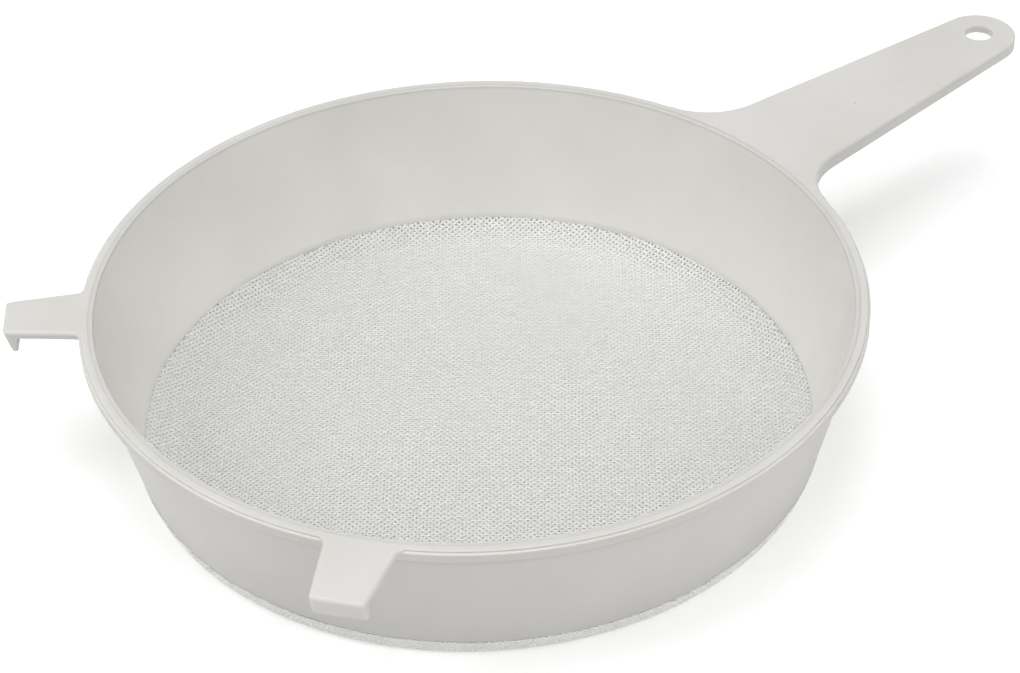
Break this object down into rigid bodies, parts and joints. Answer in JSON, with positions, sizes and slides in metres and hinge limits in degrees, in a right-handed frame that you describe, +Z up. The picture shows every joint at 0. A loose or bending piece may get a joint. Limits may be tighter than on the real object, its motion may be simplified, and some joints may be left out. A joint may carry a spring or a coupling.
{
  "type": "double sieve strainer",
  "caption": "Round double honey strainer: a tapered fine sieve with a flat rim, long handle and bucket hooks, and a coarse sieve that drops into it.",
  "frame": {"origin": "on the sieves' axis, at the flat underside of the fine mesh, where the strainer stands", "axes": "+Z up along the sieves' axis, +X from the axis along the handle, hooks on the -X side"},
  "size_m": [0.3716, 0.25, 0.053],
  "materials": {
    "plastic": "satin, slightly translucent moulded polypropylene",
    "nylon_mesh": "woven nylon thread, slightly translucent"
  },
  "bodies": {
    "outer_sieve": {"outer_sieve_body": "plastic", "fine_mesh_tray": "nylon_mesh"},
    "inner_sieve": {"inner_sieve_ring": "plastic", "coarse_mesh_tray": "nylon_mesh"}
  },
  "joints": [
    {"name": "inner_sieve_lift", "type": "slide", "parent": "outer_sieve", "child": "inner_sieve", "axis": [0, 0, 1], "range_m": [0, 0.07]}
  ]
}
